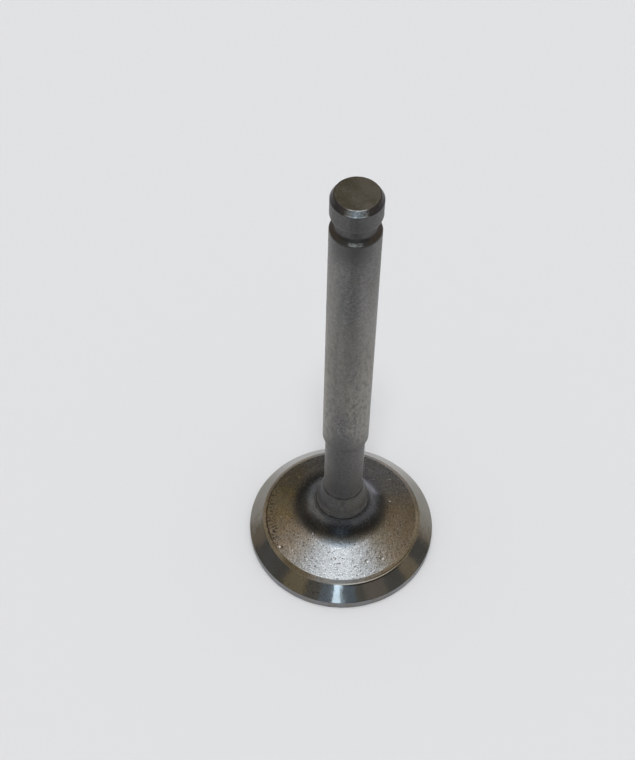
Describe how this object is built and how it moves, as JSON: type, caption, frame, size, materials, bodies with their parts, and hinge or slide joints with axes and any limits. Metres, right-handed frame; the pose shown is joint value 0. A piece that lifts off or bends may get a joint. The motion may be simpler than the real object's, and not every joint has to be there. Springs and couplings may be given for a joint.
{
  "type": "engine valve",
  "caption": "Poppet valve with a round head, a ground conical seat, an undercut neck and a slender stem with a keeper groove near its tip.",
  "frame": {"origin": "centre of the flat combustion face, which is the valve's lowest face as it stands on its head", "axes": "+Z along the stem's axis, from the head up to the tip; the valve is a body of revolution about Z, so X and Y are free"},
  "size_m": [0.0344, 0.0344, 0.0898],
  "materials": {
    "steel": "satin dark stem, rough forged head, bright ground seat"
  },
  "bodies": {
    "root": {"engine_valve": "steel"}
  },
  "joints": []
}
